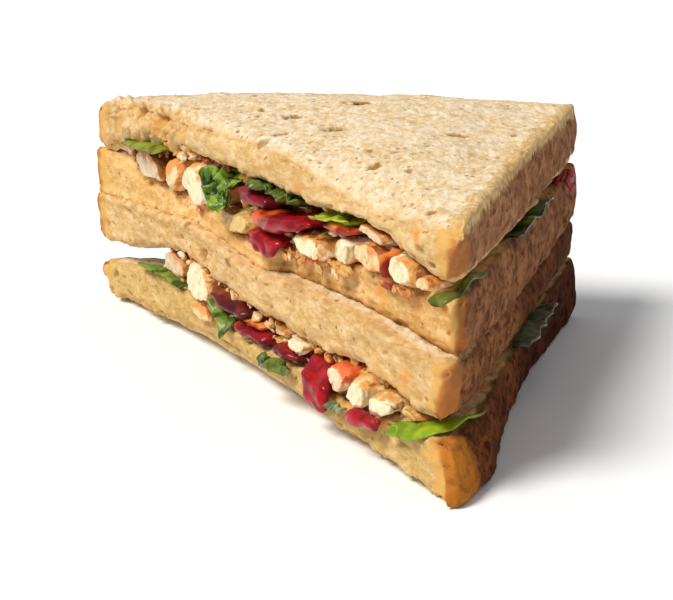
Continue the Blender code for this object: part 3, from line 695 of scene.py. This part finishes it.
filling_finish, tree, shader = new_finish("chopped_filling", 0.42, 0.3)
wet = place_group(tree, wet_mottle)
colour = layered(tree, (0.30, 0.085, 0.02), ((wet["Blotch"], 0.42, 0.6, 1.0, (0.66, 0.36, 0.13)),
                                             (wet["Fine"], 0.55, 0.7, 1.0, (0.30, 0.07, 0.015))))
surface(tree, shader, colour, wet["Height"], 0.4 * MM, 0.6)

for node in ("filling_upper", "filling_lower"):
    mass = own_copy(node, node.replace("filling", "chopped_filling"))
    fine_mesh(mass, 0.9, 0)
    points, normals = read_points(mass)
    for index, (point, normal) in enumerate(zip(points, normals)):
        lump = noise.fractal(Vector(point) / 3.4, 0.8, 2.0, 3)
        side = 1.0 - abs(normal[2])
        points[index] += normal * (lump * (0.15 + 0.9 * side))
    write_back(mass, points, {})
    hand_over(mass, "sauced_filling", filling_finish, node)

# ============================== the chicken
# Roast chicken breast in a tikka glaze, chopped across its grain: white and fibrous where the knife
# went through, glazed orange and browned on the side that was the outside, with sauce and painted
# shade in its creases and wherever two pieces touch.


def solid_of(node):
    """A solid's box in mm, and its faces for finding what lies near a point."""
    mesh = frame["nodes"][node].data
    corners = [vert.co / MM for vert in mesh.vertices]
    tree = BVHTree.FromPolygons(corners, [tuple(face.vertices) for face in mesh.polygons])
    return np.min(corners, 0), np.max(corners, 0), tree


def neighbours_of(node, reach):
    """The solids, but no leaves, whose boxes come within reach of this one's."""
    low, high = solids[node][:2]
    return [tree for other, (other_low, other_high, tree) in solids.items()
            if other != node and "leaf" not in other
            and np.all(other_low - reach < high) and np.all(other_high + reach > low)]


solids = {node: solid_of(node) for node in frame["nodes"]}
# painted shade with sauce darkens a piece's creases where a neighbour comes within this reach
crease_shade_reach = 1.3         # how near a neighbour must be for sauce to gather, in mm

# The flesh where it is cut, its glaze and its browned skin.
chicken_kinds = {
    "white": ((0.86, 0.73, 0.47), (0.74, 0.36, 0.09), (0.30, 0.095, 0.02)),
    # the white flesh darkened: painted shade for pieces that lie in shadow under the slices
    "shaded_beige": ((0.68, 0.51, 0.31), (0.62, 0.26, 0.06), (0.20, 0.05, 0.012)),
    "golden": ((0.72, 0.48, 0.15), (0.50, 0.22, 0.04), (0.20, 0.06, 0.012)),
    "amber": ((0.84, 0.58, 0.28), (0.76, 0.30, 0.06), (0.34, 0.09, 0.02)),
    "capped": ((0.84, 0.62, 0.38), (0.78, 0.16, 0.035), (0.66, 0.10, 0.02)),
}


def chicken_finish(name, cut_colour, glaze_colour, browned_colour):
    finish, tree, shader = new_finish(name, 0.42, 0.4, (0.2, 0.15), (0.12, (1.0, 0.5, 0.25)))
    wet = place_group(tree, wet_mottle)
    bright = tuple(min(1.0, channel * 1.12 + 0.04) for channel in cut_colour)
    washed, browned, shaded_crease = (reckon(tree, "ADD", mask_of(tree, mask), wet[patches]) for mask, patches
                                in (("glaze", "Blotch"), ("skin", "Fine"), ("crease_shade", "Blotch")))
    colour = layered(tree, cut_colour, (
        (wet["Fine"], 0.42, 0.62, 1.0, bright), (mask_of(tree, "fibre"), 0.25, 0.95, 0.40, glaze_colour),
        (washed, 0.56, 1.02, 1.0, glaze_colour), (browned, 0.85, 1.25, 1.0, browned_colour),
        # painted shade with sauce: dark red-brown in grooves and where neighbours come near
        (shaded_crease, 0.75, 1.3, 0.9, (0.36, 0.10, 0.02))))
    surface(tree, shader, colour, wet["Height"], 0.30 * MM, 0.7)
    return finish


def middle_and_half(points):
    """The middle of a piece's box, and half its size."""
    return (points.max(0) + points.min(0)) / 2.0, (points.max(0) - points.min(0)) / 2.0


def shave(points, seed):
    """Flat cuts, as a knife leaves them: one across the front and six at angles round the sides."""
    knife_angles = random.Random(seed)
    middle = middle_and_half(points)[0]
    points = middle + (points - middle) * 1.08
    cuts = [(0.0, -1.0, knife_angles.uniform(-0.1, 0.25), 0.72)]
    for count in range(6):
        angle = math.radians(60.0 * count + knife_angles.uniform(-24.0, 24.0))
        cuts.append((math.cos(angle), knife_angles.uniform(-0.5, 0.1), math.sin(angle),
                     knife_angles.uniform(0.64, 0.90)))
    for x, y, z, kept in cuts:
        way = np.array((x, y, z)) / math.sqrt(x * x + y * y + z * z)
        reach = (points - middle) @ way
        points = points - 0.92 * np.maximum(reach - kept * reach.max(), 0.0)[:, None] * way
    return points


def carve_chicken(node, lean, skin_side, glazing, seed):
    """A torn and chopped chunk: its lumps, fibres, glaze and browned skin.

    lean is the slope of its fibres, skin_side the angle at which its outside lies (0 to the right
    and 90 degrees up), and glazing how far the glaze reaches over it.
    """
    piece = own_copy(node, node.replace("chicken", "chicken_piece"))
    fine_mesh(piece, 0.34, 3)
    write_back(piece, shave(read_points(piece)[0], seed), {})
    points, normals = read_points(piece)
    middle, half = middle_and_half(points)
    shift = Vector((seed * 13.7, 0.0, seed * 5.1))
    near = neighbours_of(node, crease_shade_reach)
    outside = Vector((math.cos(skin_side), 0.0, math.sin(skin_side)))
    masks = {"fibre": [], "glaze": [], "skin": [], "crease_shade": []}
    for index, (point, normal) in enumerate(zip(points, normals)):
        place = Vector(point)
        warp = noise.noise_vector(place / 3.0 + shift)
        along = place.z * math.cos(lean) + place.x * math.sin(lean)
        across = place.x * math.cos(lean) - place.z * math.sin(lean)
        thread = Vector(((across + warp.x) / 0.7, place.y / 2.0, along / 4.0))
        fibre = noise.fractal(thread + shift, 0.7, 2.0, 3)
        lump = noise.fractal(place / 4.8 + shift, 0.9, 2.0, 2)
        ridge = noise.noise(Vector(((across + warp.x) / 1.9, place.y / 3.0, along / 7.0)) - shift)
        split = (1.0 - smooth_step(0.0, 0.09, abs(ridge))) * smooth_step(-0.2, 0.2, lump)
        points[index] += normal * (0.20 * fibre + 0.40 * lump + 0.15 - 0.45 * split)
        share = (point - middle) / half
        towards = share[0] * outside.x + share[2] * outside.z
        blotch = noise.noise(place / 2.0 + shift)
        turned = 1.0 - smooth_step(0.30, 0.85, -normal[1])
        masks["fibre"].append(clamped(0.30 - 1.2 * fibre + 0.5 * split))
        masks["glaze"].append(clamped(0.6 * towards + 0.8 * blotch + glazing - 0.40 + 0.5 * turned))
        masks["skin"].append(clamped(1.6 * towards - 0.95 + 0.9 * blotch) * (0.3 + 0.7 * turned))
        # painted shade: darker where another piece or the bread comes near
        gaps = [tree.find_nearest(place, crease_shade_reach)[3] for tree in near]
        gap = min([gap for gap in gaps if gap is not None], default=crease_shade_reach)
        masks["crease_shade"].append(max(0.5 * split, 1.0 - gap / crease_shade_reach))
    write_back(piece, points, masks)
    return piece


# For each piece: what it is like, the side its outside lies on, and how far its glaze reaches.
chicken_looks = {
    "chicken_upper_1": ("shaded_beige", 40.0, 0.30), "chicken_upper_2": ("amber", 120.0, 0.55),
    "chicken_upper_3": ("white", 150.0, 0.10), "chicken_upper_4": ("golden", 30.0, 0.45),
    "chicken_upper_5": ("golden", 215.0, 0.30), "chicken_upper_6": ("white", 75.0, 0.25),
    "chicken_upper_7": ("white", 200.0, 0.20), "chicken_upper_8": ("amber", 60.0, 0.35),
    "chicken_upper_9": ("white", 10.0, 0.25), "chicken_upper_10": ("amber", 90.0, 0.20),
    "chicken_lower_1": ("shaded_beige", 70.0, 0.25), "chicken_lower_2": ("white", 20.0, 0.15),
    "chicken_lower_3": ("golden", 80.0, 0.30), "chicken_lower_4": ("white", 300.0, -0.05),
    "chicken_lower_5": ("capped", 75.0, 0.20), "chicken_lower_6": ("white", 60.0, 0.10),
    "chicken_lower_7": ("white", 110.0, 0.20), "chicken_lower_8": ("golden", 330.0, 0.35),
    "chicken_bit_lower": ("amber", 90.0, 0.70), "strip_upper": ("shaded_beige", 90.0, 0.10),
}
chicken_finishes = {kind: chicken_finish("chicken_" + kind, *colours)
                    for kind, colours in chicken_kinds.items()}
for count, (node, (kind, skin_side, glazing)) in enumerate(chicken_looks.items()):
    lean = math.radians(18.0 + 34.0 * math.sin(count * 2.3))
    chunk = carve_chicken(node, lean, math.radians(skin_side), glazing, count + 1)
    slot = "sauced_filling" if node == "strip_upper" else "chicken"
    hand_over(chunk, slot, chicken_finishes[kind], node)

# ============================== the shreds and the sauce
# Torn threads of chicken, beads of sauce and crumbs of spice that fill the spaces between the
# pieces, each filling's as one mesh. What lies deeper is darker, with painted shade, and wetter.


def gap_between(base, lid, x, y):
    """Heights of the top of one slice and the underside of the next, at a place in the filling."""
    low = solids[base][2].ray_cast(Vector((x, y, 80.0)), Vector((0.0, 0.0, -1.0)))[0]
    high = solids[lid][2].ray_cast(Vector((x, y, -20.0)), Vector((0.0, 0.0, 1.0)))[0]
    return (low.z, high.z) if low and high else (None, None)


bpy.ops.object.select_all(action="DESELECT")
bpy.ops.mesh.primitive_ico_sphere_add(subdivisions=3, radius=1.0)
ball = bpy.context.object
ball_points = np.array([vert.co for vert in ball.data.vertices])
ball_faces = np.array([tuple(face.vertices) for face in ball.data.polygons])
bpy.data.objects.remove(ball, do_unlink=True)


def build_lumps(name, lumps):
    """Many torn lumps as one mesh. Each has a place, three radii, a turn and a tone."""
    points, faces, tones = [], [], []
    for count, (where, radii, turn, tone) in enumerate(lumps):
        rough = np.array([1.0 + 0.6 * noise.fractal(Vector(way) * 0.9 + Vector((count * 3.7, 0.0, 0.0)),
                                                    0.9, 2.0, 2) for way in ball_points])
        shape = ball_points * rough[:, None] * np.array(radii)
        faces.append(ball_faces + count * len(ball_points))
        points.append(shape @ np.array(turn.to_matrix()).T + np.array(where))
        tones.append(np.full(len(ball_points), tone))
    points, faces, tones = (np.concatenate(part) for part in (points, faces, tones))
    mesh = bpy.data.meshes.new(name)
    mesh.from_pydata((points * MM).tolist(), [], faces.tolist())
    piece = bpy.data.objects.new(name, mesh)
    bpy.context.scene.collection.objects.link(piece)
    write_back(piece, points, {"tone": tones})
    return piece


# From brown sauce through orange and golden to cream, by tone.
shreds_and_sauce, tree, shader = new_finish("shreds_and_sauce", 0.38, 0.35, (0.25, 0.12))
wet = place_group(tree, wet_mottle)
tone = reckon(tree, "MULTIPLY_ADD", reckon(tree, "SUBTRACT", wet["Fine"], 0.5), 0.9, mask_of(tree, "tone"))
colour = layered(tree, (0.16, 0.035, 0.010), (
    (tone, 0.10, 0.30, 1.0, (0.60, 0.15, 0.022)), (tone, 0.34, 0.52, 1.0, (0.66, 0.33, 0.075)),
    (tone, 0.60, 0.85, 1.0, (0.84, 0.64, 0.38))))
surface(tree, shader, colour, wet["Height"], 0.25 * MM, 0.5)

dice = random.Random(7)
cut_face = -39.0           # where the cut face stands, in mm
shred_reach = 8.0          # how far behind it the shreds lie
spill_out, spill_down = 1.2, 1.8       # how far a crumb may spill out and down
# For each filling: the slices it lies between, where its shreds begin and end, and how many, and the
# same for the crumbs that have spilled onto the edge below.
shred_runs = {
    "upper": ("bread_upper_base", "bread_top", -62.0, 68.0, 410,
              [(14.0, 44.0, 30), (-40.0, -20.0, 6), (60.0, 70.0, 6)]),
    "lower": ("bread_base", "bread_lower_lid", -42.0, 65.0, 350,
              [(-30.0, -12.0, 10), (10.0, 34.0, 10), (44.0, 62.0, 8)]),
}
for level, (base, lid, first, last, number, spills) in shred_runs.items():
    lumps = []
    for _ in range(number):
        x = dice.uniform(first, last)
        depth = dice.uniform(0.0, 1.0) ** 1.4
        y = cut_face + 0.5 + shred_reach * depth
        low, high = gap_between(base, lid, x, y)
        if low is None:
            continue
        size = dice.uniform(0.45, 1.0) + 0.5 * depth
        radii = (size * dice.uniform(1.0, 2.4), size * dice.uniform(0.7, 1.2), size * dice.uniform(0.6, 0.9))
        turn = Euler((dice.uniform(-0.5, 0.5), dice.uniform(-0.9, 0.9), dice.uniform(-0.6, 0.6)))
        z = low + (high - low) * dice.random()
        z = min(max(z, low + 0.35 * size), high - 0.35 * size)
        # painted shade: a shred's tone falls the deeper behind the cut face it lies
        tone = clamped(0.62 - 0.35 * depth + dice.gauss(0.0, 0.20))
        lumps.append(((x, y, z), radii, turn, tone))
    for spill_first, spill_last, spill_number in spills:
        for _ in range(spill_number):
            x = dice.uniform(spill_first, spill_last)
            low, high = gap_between(base, lid, x, cut_face + 3.0)
            size = dice.uniform(0.5, 1.1)
            radii = (size * dice.uniform(1.1, 1.7), size * dice.uniform(0.4, 0.6), size * 0.8)
            turn = Euler((0.0, dice.uniform(-0.6, 0.6), dice.uniform(-0.4, 0.4)))
            spill = dice.random() ** 2
            tone = clamped(dice.gauss(0.48, 0.10))
            if low is not None:
                where = (x, cut_face + 1.5 - spill_out * spill, low - spill_down * spill)
                lumps.append((where, radii, turn, tone))
    shreds = build_lumps("shreds_" + level, lumps)
    hand_over(shreds, "sauced_filling", shreds_and_sauce)

# ============================== the red pepper
# Roast red pepper, cut in pieces: slippery, glossy flesh of a deep red that turns orange at its
# cut edges, and one folded strip of its dark skin.


def pepper_finish(name, flesh, edge, shadow):
    finish, tree, shader = new_finish(name, 0.30, 0.14, (0.18, 0.06), (0.08, (1.0, 0.1, 0.06)))
    wet = place_group(tree, wet_mottle)
    colour = layered(tree, flesh, ((wet["Blotch"], 0.42, 0.62, 1.0, shadow),
                                   # painted shade: darker red in the folds' hollows
                                   (mask_of(tree, "fold"), 0.35, 0.75, 0.8, shadow),
                                   (mask_of(tree, "cut_edge"), 0.25, 0.75, 1.0, edge)))
    surface(tree, shader, colour, wet["Blotch"], 0.35 * MM, 0.2)
    return finish


# The flesh, its cut edge, and its darker red: painted shade in its folds, and random blotches.
pepper_colours = {
    "red": ((0.40, 0.006, 0.012), (0.66, 0.12, 0.02), (0.20, 0.005, 0.010)),
    "deep": ((0.26, 0.006, 0.012), (0.42, 0.03, 0.015), (0.12, 0.004, 0.010)),
    "orange": ((0.50, 0.065, 0.012), (0.74, 0.22, 0.04), (0.26, 0.018, 0.006)),
    "skin": ((0.13, 0.010, 0.012), (0.24, 0.045, 0.015), (0.05, 0.006, 0.008)),
}
pepper_finishes = {kind: pepper_finish("pepper_" + kind, *colours)
                   for kind, colours in pepper_colours.items()}
# For each piece: its colour, and the side its cut edge lies on (degrees) with how much of it shows.
pepper_looks = {
    "pepper_upper_1": ("deep", 250.0, -0.30), "pepper_upper_2": ("red", 165.0, 0.12),
    "pepper_upper_3": ("red", 110.0, -0.25), "pepper_upper_4": ("orange", 100.0, -0.10),
    "pepper_upper_5": ("orange", 90.0, 0.10), "pepper_ring_upper": ("orange", 120.0, 0.20),
    "pepper_crust_upper": ("red", 0.0, -0.90), "pepper_skin_lower": ("skin", 100.0, -0.15),
    "pepper_cap_lower": ("orange", 80.0, 0.20), "pepper_lower_1": ("deep", 100.0, -0.20),
    "pepper_lower_2": ("deep", 60.0, -0.25), "pepper_lower_3": ("red", 330.0, -0.70),
    "pepper_lower_4": ("red", 90.0, -0.70),
}
crust_plane = 32.0         # how far from the middle, along its normal, the near crust stands
crust_pepper_droop = 2.6   # how far the piece at the crust hangs down outside it
crust_pepper_push = 0.2    # and how far it stands out
for count, (node, (kind, edge_side, edge_shows)) in enumerate(pepper_looks.items()):
    flesh = own_copy(node, node + "_flesh")
    thin = node == "pepper_crust_upper"
    fine_mesh(flesh, 0.26, 2 if thin else 14)
    points, normals = read_points(flesh)
    middle, half = middle_and_half(points)
    shift = Vector((count * 9.1, 0.0, count * 3.3))
    edge_side = math.radians(edge_side)
    masks = {"fold": [], "cut_edge": []}
    for index, (point, normal) in enumerate(zip(points, normals)):
        place = Vector(point)
        sway = noise.noise(place / 6.0 + shift)
        fold = noise.noise(Vector((place.x / 7.0, place.y / 3.5, (place.z + 2.5 * sway) / 1.9)) + shift)
        broad = noise.noise(place / 4.5 - shift)
        push = 0.40 + 0.15 * (fold + broad) if thin else 0.55 * (fold + broad)
        points[index] += normal * push
        share = (point - middle) / half
        towards = share[0] * math.cos(edge_side) + share[2] * math.sin(edge_side)
        masks["fold"].append(clamped(0.5 - 1.2 * fold))
        masks["cut_edge"].append(clamped(0.85 * towards + edge_shows + 0.4 * noise.noise(place / 1.8)))
    if thin:
        beyond = np.clip((points[:, 0] + points[:, 1]) / math.sqrt(2.0) - crust_plane, 0.0, 2.0) / 2.0
        points[:, :2] += crust_pepper_push * beyond[:, None] / math.sqrt(2.0)
        points[:, 2] -= crust_pepper_droop * beyond ** 2
    write_back(flesh, points, masks)
    hand_over(flesh, "red_pepper", pepper_finishes[kind], node)

# ============================== the salad leaves
# Small spinach and rocket leaves, crumpled between the slices: thin, veined, satin on top, with
# edges that curl out of the sandwich.


def leaf_finish(name, shadow, blade, bright):
    finish, tree, shader = new_finish(name, 0.36, 0.2, (0.14, 0.10))
    place = on_object(tree)
    colour = layered(tree, blade, ((mottle(tree, place, 420.0), 0.38, 0.64, 1.0, bright),
                                   # painted shade: darker green where a crumple sinks
                                   (mask_of(tree, "crumple"), 0.55, 0.15, 1.0, shadow),
                                   (mask_of(tree, "vein"), 0.3, 0.9, 0.8, bright)))
    surface(tree, shader, colour, mottle(tree, place, 900.0), 0.22 * MM, 0.45)
    return finish


# The green of the painted shade in the folds, of the blade, and of the veins and the painted highlights where
# spots catch the light.
leaf_colours = {
    "dark": ((0.016, 0.026, 0.004), (0.065, 0.095, 0.010), (0.15, 0.19, 0.030)),
    "fresh": ((0.008, 0.022, 0.003), (0.065, 0.150, 0.008), (0.26, 0.36, 0.04)),
    "mid": ((0.030, 0.055, 0.005), (0.100, 0.150, 0.012), (0.22, 0.28, 0.035)),
    "bright": ((0.150, 0.200, 0.010), (0.25, 0.32, 0.015), (0.42, 0.50, 0.05)),
    "olive": ((0.090, 0.110, 0.008), (0.215, 0.255, 0.016), (0.30, 0.34, 0.035)),
    "vivid": ((0.150, 0.230, 0.006), (0.225, 0.325, 0.008), (0.33, 0.42, 0.02)),
    # a dark olive: painted shade for the leaf at the near tip, which lies in shadow
    "moss": ((0.028, 0.032, 0.003), (0.090, 0.100, 0.008), (0.17, 0.18, 0.020)),
    "pale": ((0.10, 0.12, 0.05), (0.22, 0.24, 0.11), (0.38, 0.40, 0.22)),
    "grey": ((0.030, 0.038, 0.018), (0.080, 0.095, 0.045), (0.17, 0.19, 0.10)),
}
leaf_finishes = {kind: leaf_finish("leaf_" + kind, *colours) for kind, colours in leaf_colours.items()}
# How far, in mm, the front edge of a leaf curls down.
leaf_curls = {"leaf_upper_1": 1.5, "leaf_lower_1": 0.6, "leaf_tip_upper": 1.6, "leaf_tip_lower": 1.2}
curl_width = 3.5           # and how far behind that edge the curl begins
# For each leaf: its colour, how strongly it is crumpled and how finely.
leaf_looks = {
    "leaf_upper_1": ("olive", 0.7, 6.0), "leaf_upper_2": ("fresh", 1.7, 2.7),
    "leaf_upper_3": ("dark", 1.6, 3.0), "leaf_upper_4": ("bright", 1.3, 4.0),
    "leaf_tip_upper": ("moss", 0.9, 6.0), "leaf_tip_lower": ("vivid", 0.9, 7.0),
    "leaf_lower_1": ("mid", 0.8, 6.0), "leaf_lower_2": ("mid", 1.2, 4.5),
    "leaf_lower_3": ("dark", 1.2, 3.4), "leaf_lower_4": ("pale", 0.8, 3.4),
    "leaf_crust_upper": ("dark", 1.0, 5.0), "leaf_crust_lower": ("grey", 1.0, 5.0),
    "leaf_back_upper": ("dark", 1.0, 5.0), "leaf_back_lower": ("mid", 1.0, 5.0),
}
for count, (node, (kind, strength, pitch)) in enumerate(leaf_looks.items()):
    blade = own_copy(node, node + "_blade")
    finish_with(blade, "SUBSURF", levels=4, render_levels=4)
    points = read_points(blade)[0]
    shift = Vector((count * 11.3, 0.0, count * 4.7))
    masks = {"vein": [], "crumple": []}
    for index, point in enumerate(points):
        place = Vector(point)
        crumple = noise.noise_vector(place / pitch + shift)
        ripple = noise.noise_vector(place / (0.4 * pitch) + shift)
        points[index] += np.array(crumple * strength + ripple * 0.25 * strength)
        masks["vein"].append(1.0 - smooth_step(0.0, 0.07, abs(noise.noise(place / 2.6 - shift))))
        masks["crumple"].append(clamped(0.5 + 0.9 * crumple.z + 0.6 * ripple.z))
    if node == "leaf_upper_2":
        middle = middle_and_half(points)[0]
        low_left = np.clip((middle[0] - points[:, 0]) / 3.0, 0.0, 1.0) * (points[:, 2] < middle[2])
        points[:, 2] += 0.6 * low_left * (middle[2] - points[:, 2])
    in_front = np.clip((points[:, 1].min() + curl_width - points[:, 1]) / curl_width, 0.0, 1.0)
    points[:, 2] -= leaf_curls.get(node, 0.0) * in_front ** 1.5
    write_back(blade, points, masks)
    hand_over(blade, "salad_leaf", leaf_finishes[kind], node)
